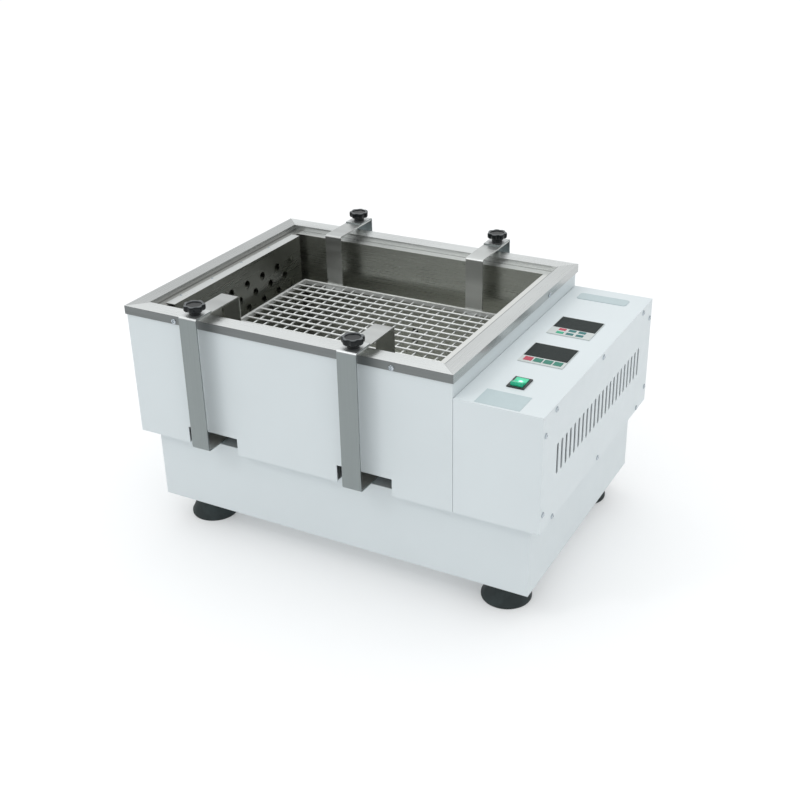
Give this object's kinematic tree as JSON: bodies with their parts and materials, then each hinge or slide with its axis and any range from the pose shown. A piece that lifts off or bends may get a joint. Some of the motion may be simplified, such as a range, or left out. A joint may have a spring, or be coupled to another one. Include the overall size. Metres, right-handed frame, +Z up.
{
  "type": "shaking water bath",
  "caption": "Benchtop water bath whose tray hangs from outer straps and swings in a small circle, with a perforated partition and a side control box, on bell-shaped feet.",
  "frame": {"origin": "middle of the outline in plan, on the bench under the feet", "axes": "+X along the front towards the control box, +Y to the back, +Z up"},
  "size_m": [0.669, 0.503, 0.4001],
  "materials": {
    "base_paint": "satin",
    "housing_paint": "satin",
    "box_paint": "satin",
    "tank_steel": "brushed",
    "partition_steel": "brushed",
    "rim_steel": "brushed",
    "screw_steel": "bright",
    "strap_steel": "brushed",
    "hanger_steel": "brushed",
    "tray_steel": "bright",
    "heater_steel": "satin",
    "foot_rubber": "matte",
    "foam": "matte",
    "valve_metal": "satin",
    "lever_paint": "gloss",
    "black_plastic": "matte",
    "knob_plastic": "matte",
    "rocker_plastic": "lit, gloss",
    "controller_plastic": "matte",
    "window_plastic": "gloss",
    "label_film": "matte",
    "key_red": "matte",
    "key_green": "matte",
    "key_teal": "matte",
    "key_bright": "matte",
    "relay_body": "matte",
    "drive_steel": "satin",
    "drive_iron": "matte",
    "motor_paint": "satin",
    "bearing_steel": "bright",
    "light_alloy": "satin",
    "belt_rubber": "matte"
  },
  "bodies": {
    "chassis": {"base_shell": "base_paint", "base_bottom_plate": "base_paint", "rubber_feet": "foot_rubber", "foot_bolts": "screw_steel", "upper_housing": "housing_paint", "tank": "tank_steel", "rim_frame": "rim_steel", "rim_screws": "screw_steel", "perforated_partition": "partition_steel", "heater_element": "heater_steel", "temperature_probe": "heater_steel", "tank_insulation": "foam", "drain_fitting": "heater_steel", "drain_valve_body": "valve_metal", "control_box": "box_paint", "side_panel": "box_paint", "side_panel_screws": "screw_steel", "switch_bezel": "black_plastic", "speed_controller": "controller_plastic", "temperature_controller": "controller_plastic", "display_windows": "window_plastic", "blank_labels": "label_film", "power_inlet": "black_plastic", "heater_relay": "relay_body", "motor_bracket": "drive_steel", "drive_motor": "motor_paint", "drive_belt": "belt_rubber", "spindle_housing": "drive_iron", "spindle_bearings": "bearing_steel", "idler_blocks": "drive_iron"},
    "crank": {"drive_spindle": "drive_steel", "driven_pulley": "light_alloy"},
    "shaker": {"carriage_plate": "light_alloy", "carriage_bearings": "bearing_steel", "outer_straps": "strap_steel", "strap_screws": "screw_steel", "tray_hangers": "hanger_steel", "shaking_tray": "tray_steel"},
    "motor_rotor": {"motor_pulley": "drive_steel"},
    "rocker": {"switch_rocker": "rocker_plastic"},
    "drain_handle": {"drain_lever": "lever_paint"},
    "idler_1": {"idler_crank_1": "drive_steel"},
    "knob_1": {"clamp_knob_1": "knob_plastic"},
    "speed_button_1": {"speed_key_1": "key_red"},
    "idler_2": {"idler_crank_2": "drive_steel"},
    "knob_2": {"clamp_knob_2": "knob_plastic"},
    "speed_button_2": {"speed_key_2": "key_green"},
    "idler_3": {"idler_crank_3": "drive_steel"},
    "knob_3": {"clamp_knob_3": "knob_plastic"},
    "speed_button_3": {"speed_key_3": "key_green"},
    "idler_4": {"idler_crank_4": "drive_steel"},
    "knob_4": {"clamp_knob_4": "knob_plastic"},
    "speed_button_4": {"speed_key_4": "key_green"},
    "temperature_button_1": {"temperature_key_1": "key_red"},
    "temperature_button_2": {"temperature_key_2": "key_teal"},
    "temperature_button_3": {"temperature_key_3": "key_teal"},
    "temperature_button_4": {"temperature_key_4": "key_bright"},
    "temperature_button_5": {"temperature_key_5": "key_teal"},
    "temperature_button_6": {"temperature_key_6": "key_teal"}
  },
  "joints": [
    {"name": "crank_spin", "type": "hinge", "parent": "chassis", "child": "crank", "pos_m": [-0.0593, -0.00574, 0.17], "axis": [0, 0, 1], "continuous": true},
    {"name": "shaker_turn", "type": "hinge", "parent": "crank", "child": "shaker", "pos_m": [-0.06749, 0, 0.176], "axis": [0, 0, 1], "continuous": true},
    {"name": "motor_spin", "type": "hinge", "parent": "chassis", "child": "motor_rotor", "pos_m": [0.0907, -0.00574, 0.072], "axis": [0, 0, 1], "continuous": true},
    {"name": "idler_1_spin", "type": "hinge", "parent": "chassis", "child": "idler_1", "pos_m": [-0.2293, -0.13574, 0.17], "axis": [0, 0, 1], "continuous": true},
    {"name": "idler_2_spin", "type": "hinge", "parent": "chassis", "child": "idler_2", "pos_m": [-0.2293, 0.12426, 0.17], "axis": [0, 0, 1], "continuous": true},
    {"name": "idler_3_spin", "type": "hinge", "parent": "chassis", "child": "idler_3", "pos_m": [0.1107, -0.13574, 0.17], "axis": [0, 0, 1], "continuous": true},
    {"name": "idler_4_spin", "type": "hinge", "parent": "chassis", "child": "idler_4", "pos_m": [0.1107, 0.12426, 0.17], "axis": [0, 0, 1], "continuous": true},
    {"name": "knob_1_turn", "type": "hinge", "parent": "shaker", "child": "knob_1", "pos_m": [-0.19749, -0.2325, 0.3851], "axis": [0, 0, 1], "continuous": true},
    {"name": "knob_2_turn", "type": "hinge", "parent": "shaker", "child": "knob_2", "pos_m": [0.06251, -0.2325, 0.3851], "axis": [0, 0, 1], "continuous": true},
    {"name": "knob_3_turn", "type": "hinge", "parent": "shaker", "child": "knob_3", "pos_m": [-0.19749, 0.2325, 0.3851], "axis": [0, 0, 1], "continuous": true},
    {"name": "knob_4_turn", "type": "hinge", "parent": "shaker", "child": "knob_4", "pos_m": [0.06251, 0.2325, 0.3851], "axis": [0, 0, 1], "continuous": true},
    {"name": "speed_button_1_press", "type": "slide", "parent": "chassis", "child": "speed_button_1", "axis": [0, 0, -1], "range_m": [0, 0.0008], "stiffness_N_per_m": 400, "springref_m": -0.0005},
    {"name": "speed_button_2_press", "type": "slide", "parent": "chassis", "child": "speed_button_2", "axis": [0, 0, -1], "range_m": [0, 0.0008], "stiffness_N_per_m": 400, "springref_m": -0.0005},
    {"name": "speed_button_3_press", "type": "slide", "parent": "chassis", "child": "speed_button_3", "axis": [0, 0, -1], "range_m": [0, 0.0008], "stiffness_N_per_m": 400, "springref_m": -0.0005},
    {"name": "speed_button_4_press", "type": "slide", "parent": "chassis", "child": "speed_button_4", "axis": [0, 0, -1], "range_m": [0, 0.0008], "stiffness_N_per_m": 400, "springref_m": -0.0005},
    {"name": "temperature_button_1_press", "type": "slide", "parent": "chassis", "child": "temperature_button_1", "axis": [0, 0, -1], "range_m": [0, 0.0008], "stiffness_N_per_m": 400, "springref_m": -0.0005},
    {"name": "temperature_button_2_press", "type": "slide", "parent": "chassis", "child": "temperature_button_2", "axis": [0, 0, -1], "range_m": [0, 0.0008], "stiffness_N_per_m": 400, "springref_m": -0.0005},
    {"name": "temperature_button_3_press", "type": "slide", "parent": "chassis", "child": "temperature_button_3", "axis": [0, 0, -1], "range_m": [0, 0.0008], "stiffness_N_per_m": 400, "springref_m": -0.0005},
    {"name": "temperature_button_4_press", "type": "slide", "parent": "chassis", "child": "temperature_button_4", "axis": [0, 0, -1], "range_m": [0, 0.0008], "stiffness_N_per_m": 400, "springref_m": -0.0005},
    {"name": "temperature_button_5_press", "type": "slide", "parent": "chassis", "child": "temperature_button_5", "axis": [0, 0, -1], "range_m": [0, 0.0008], "stiffness_N_per_m": 400, "springref_m": -0.0005},
    {"name": "temperature_button_6_press", "type": "slide", "parent": "chassis", "child": "temperature_button_6", "axis": [0, 0, -1], "range_m": [0, 0.0008], "stiffness_N_per_m": 400, "springref_m": -0.0005},
    {"name": "rocker_tip", "type": "hinge", "parent": "chassis", "child": "rocker", "pos_m": [0.2663, -0.14749, 0.3373], "axis": [1, 0, 0], "range_deg": [0, 18]},
    {"name": "drain_turn", "type": "hinge", "parent": "chassis", "child": "drain_handle", "pos_m": [-0.0625, 0.23101, 0.235], "axis": [0, 0, -1], "range_deg": [0, 90]}
  ],
  "couplings": [
    {"joint": "shaker_turn", "follows": "crank_spin", "ratio": -1},
    {"joint": "motor_spin", "follows": "crank_spin", "ratio": 3},
    {"joint": "idler_1_spin", "follows": "crank_spin", "ratio": 1},
    {"joint": "idler_2_spin", "follows": "crank_spin", "ratio": 1},
    {"joint": "idler_3_spin", "follows": "crank_spin", "ratio": 1},
    {"joint": "idler_4_spin", "follows": "crank_spin", "ratio": 1}
  ]
}
